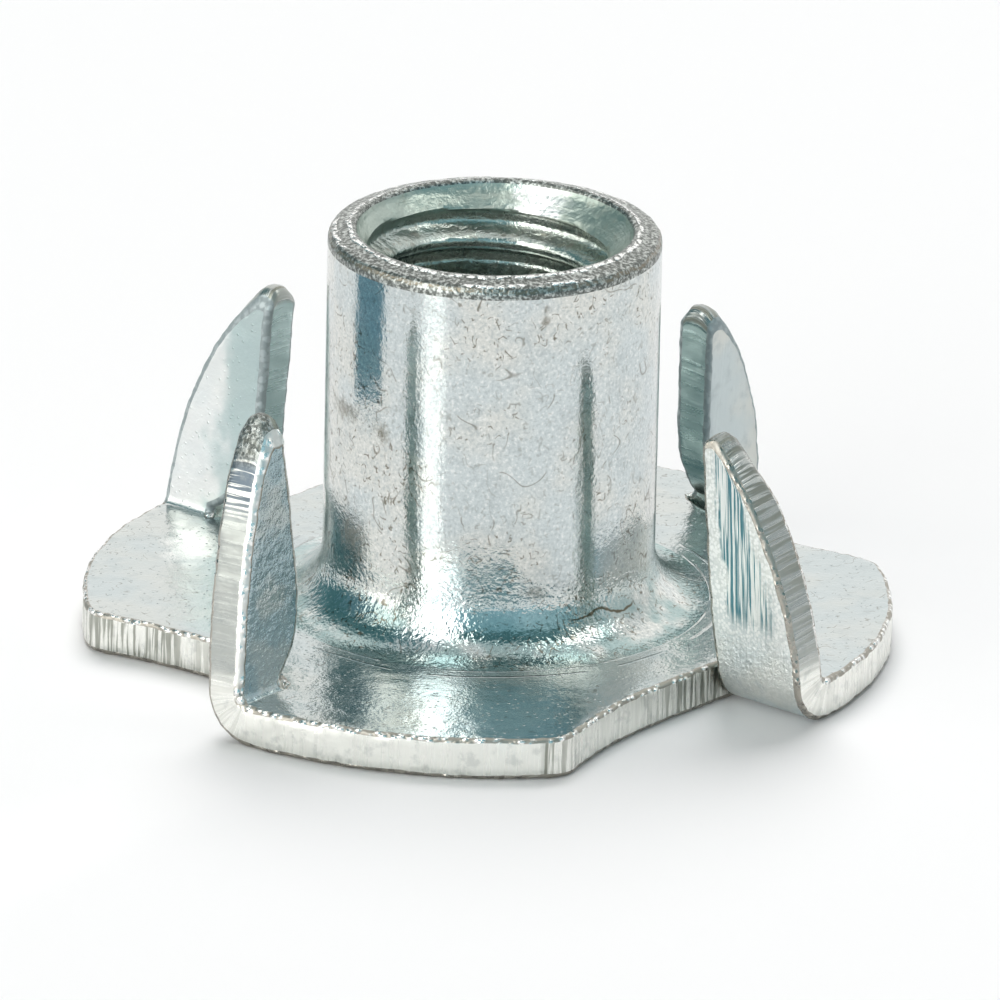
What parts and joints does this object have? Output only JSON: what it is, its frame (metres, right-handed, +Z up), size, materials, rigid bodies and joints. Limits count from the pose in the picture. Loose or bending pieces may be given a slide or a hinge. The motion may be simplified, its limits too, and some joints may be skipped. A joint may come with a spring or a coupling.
{
  "type": "four-prong tee nut",
  "caption": "Zinc-plated steel tee nut with a threaded barrel on a round lobed flange and prongs folded up from its edge.",
  "frame": {"origin": "thread's axis at the underside of the flange", "axes": "+Z up the barrel to its mouth; -Y between the two front prongs, the third and the fourth counted anticlockwise from the one at 51 degrees from +X"},
  "size_m": [0.019, 0.019, 0.01],
  "materials": {
    "zinc_plated_steel": "bright zinc plating, satin with fine grain"
  },
  "bodies": {
    "root": {"tee_nut": "zinc_plated_steel"}
  },
  "joints": []
}
